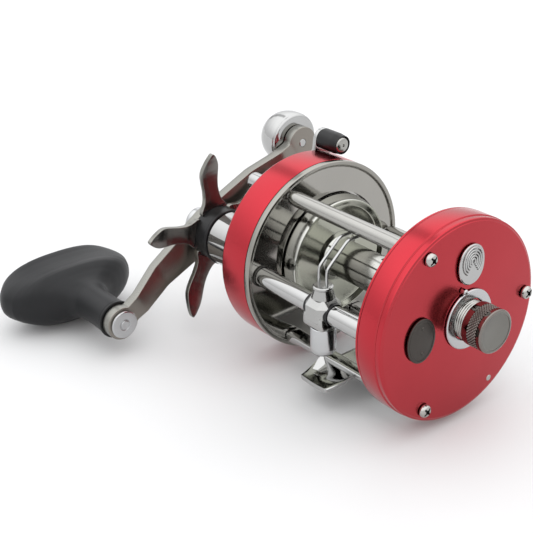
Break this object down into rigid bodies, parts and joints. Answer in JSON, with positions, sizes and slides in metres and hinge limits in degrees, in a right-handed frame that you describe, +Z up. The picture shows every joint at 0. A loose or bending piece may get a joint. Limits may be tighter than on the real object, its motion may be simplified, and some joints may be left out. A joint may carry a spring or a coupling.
{
  "type": "baitcasting fishing reel",
  "caption": "Round baitcasting reel with red side plates, a level-wind line guide, a star drag, a thumb lever and a counterweighted power handle.",
  "frame": {"origin": "middle of the flat underside of the reel foot, midway between the frame rings", "axes": "+X along the spool shaft towards the palm plate, -Y towards the line guide at the front, +Z up out of the rod"},
  "size_m": [0.1615, 0.1168, 0.0718],
  "materials": {
    "red_anodised": "bright red anodised, polished",
    "chrome": "polished plating",
    "satin_chrome": "satin plating",
    "gunmetal": "dark nickel",
    "steel": "machined",
    "brass": "machined",
    "black_rubber": "soft matt",
    "black_plastic": "matt"
  },
  "bodies": {
    "frame": {"handle_side_ring": "chrome", "palm_side_ring": "chrome", "upper_front_pillar": "chrome", "rear_pillar": "chrome", "lower_front_bar": "chrome", "lower_rear_bar": "chrome", "reel_foot": "chrome", "foot_rivet_front": "steel", "foot_rivet_rear": "steel", "handle_side_cover": "red_anodised", "palm_side_cover": "red_anodised", "palm_cover_screw_upper": "steel", "palm_cover_screw_rear": "steel", "palm_cover_screw_lower": "steel", "take_down_screw_upper": "chrome", "take_down_screw_rear": "chrome", "take_down_screw_lower": "chrome", "badge_plate": "gunmetal", "cap_bezel": "satin_chrome", "bearing_barrel": "steel", "palm_spool_bearing": "steel", "handle_spool_bearing": "steel", "drive_sleeve": "chrome", "star_seal_ring": "black_plastic", "level_wind_tube": "chrome", "locating_stud": "chrome", "locating_pin": "steel", "gear_bridge": "steel"},
    "spool": {"spool": "chrome", "spool_shaft": "steel", "click_ratchet": "steel", "brake_hub": "brass"},
    "front_brake_block": {"brake_block_front": "black_plastic"},
    "rear_brake_block": {"brake_block_rear": "black_plastic"},
    "handle": {"drive_shaft": "steel", "handle_arm": "gunmetal", "handle_nut": "satin_chrome", "counterweight": "chrome", "knob_post": "satin_chrome", "anti_reverse_ratchet": "steel", "wind_drive_gear": "brass"},
    "drive_gear": {"main_gear": "brass", "drag_washer": "black_plastic"},
    "star_wheel": {"star_drag": "gunmetal"},
    "knob": {"knob_grip": "black_rubber", "knob_washer": "black_plastic"},
    "thumb_lever": {"free_spool_lever": "chrome", "thumb_sleeve": "black_rubber"},
    "clutch": {"clutch_yoke": "steel"},
    "pinion": {"pinion_gear": "brass"},
    "worm": {"worm_shaft": "steel", "worm_gear": "black_plastic"},
    "line_guide": {"line_guide_carriage": "satin_chrome", "line_guide_wire": "chrome", "pawl_housing": "satin_chrome"},
    "pawl": {"line_pawl": "steel"},
    "cast_control_cap": {"tension_cap": "gunmetal"},
    "clicker": {"clicker_button": "chrome"},
    "click_tongue": {"clicker_pawl": "steel"},
    "reverse_stop": {"anti_reverse_dog": "steel"}
  },
  "joints": [
    {"name": "handle_crank", "type": "hinge", "parent": "frame", "child": "handle", "pos_m": [0, -0.015, 0.02816], "axis": [1, 0, 0], "continuous": true},
    {"name": "drive_gear_spin", "type": "hinge", "parent": "frame", "child": "drive_gear", "pos_m": [0, -0.015, 0.02816], "axis": [1, 0, 0], "continuous": true},
    {"name": "star_drag_turn", "type": "hinge", "parent": "handle", "child": "star_wheel", "pos_m": [0, -0.015, 0.02816], "axis": [1, 0, 0], "range_deg": [-180, 180]},
    {"name": "knob_spin", "type": "hinge", "parent": "handle", "child": "knob", "pos_m": [0, -0.05459, 0.00584], "axis": [1, 0, 0], "continuous": true},
    {"name": "spool_spin", "type": "hinge", "parent": "frame", "child": "spool", "pos_m": [0, 0.0032, 0.0284], "axis": [1, 0, 0], "continuous": true},
    {"name": "front_brake_slide", "type": "slide", "parent": "spool", "child": "front_brake_block", "axis": [0, -1, 0], "range_m": [0, 0.0013]},
    {"name": "rear_brake_slide", "type": "slide", "parent": "spool", "child": "rear_brake_block", "axis": [0, 1, 0], "range_m": [0, 0.0013]},
    {"name": "thumb_lever_press", "type": "hinge", "parent": "frame", "child": "thumb_lever", "pos_m": [0, 0.01, 0.0374], "axis": [1, 0, 0], "range_deg": [-25, 0]},
    {"name": "clutch_slide", "type": "slide", "parent": "frame", "child": "clutch", "axis": [1, 0, 0], "range_m": [-0.0016, 0]},
    {"name": "pinion_spin", "type": "hinge", "parent": "clutch", "child": "pinion", "pos_m": [0, 0.0032, 0.0284], "axis": [1, 0, 0], "continuous": true},
    {"name": "worm_spin", "type": "hinge", "parent": "frame", "child": "worm", "pos_m": [0, -0.0258, 0.0291], "axis": [1, 0, 0], "continuous": true},
    {"name": "line_guide_slide", "type": "slide", "parent": "frame", "child": "line_guide", "axis": [1, 0, 0], "range_m": [-0.023, 0.0153]},
    {"name": "line_pawl_turn", "type": "hinge", "parent": "line_guide", "child": "pawl", "pos_m": [0.0037, -0.0258, 0.0291], "axis": [0, 0, 1], "range_deg": [-25, 25]},
    {"name": "cast_control_turn", "type": "hinge", "parent": "frame", "child": "cast_control_cap", "pos_m": [0, 0.0032, 0.0284], "axis": [1, 0, 0], "range_deg": [-180, 180]},
    {"name": "clicker_slide", "type": "slide", "parent": "frame", "child": "clicker", "axis": [0, 0, 1], "range_m": [0, 0.0035]},
    {"name": "click_tongue_swing", "type": "hinge", "parent": "clicker", "child": "click_tongue", "pos_m": [0, 0.0028, 0.0464], "axis": [1, 0, 0], "range_deg": [-8, 8], "stiffness_Nm_per_rad": 0.001},
    {"name": "reverse_stop_lift", "type": "hinge", "parent": "frame", "child": "reverse_stop", "pos_m": [0, -0.011, 0.01486], "axis": [1, 0, 0], "range_deg": [-12, 0]}
  ],
  "couplings": [
    {"joint": "drive_gear_spin", "follows": "handle_crank", "ratio": 1},
    {"joint": "spool_spin", "follows": "handle_crank", "ratio": -4.0714},
    {"joint": "pinion_spin", "follows": "handle_crank", "ratio": -4.0714},
    {"joint": "worm_spin", "follows": "handle_crank", "ratio": -1.75},
    {"joint": "clutch_slide", "follows": "thumb_lever_press", "m_per_rad": 0.00366}
  ]
}
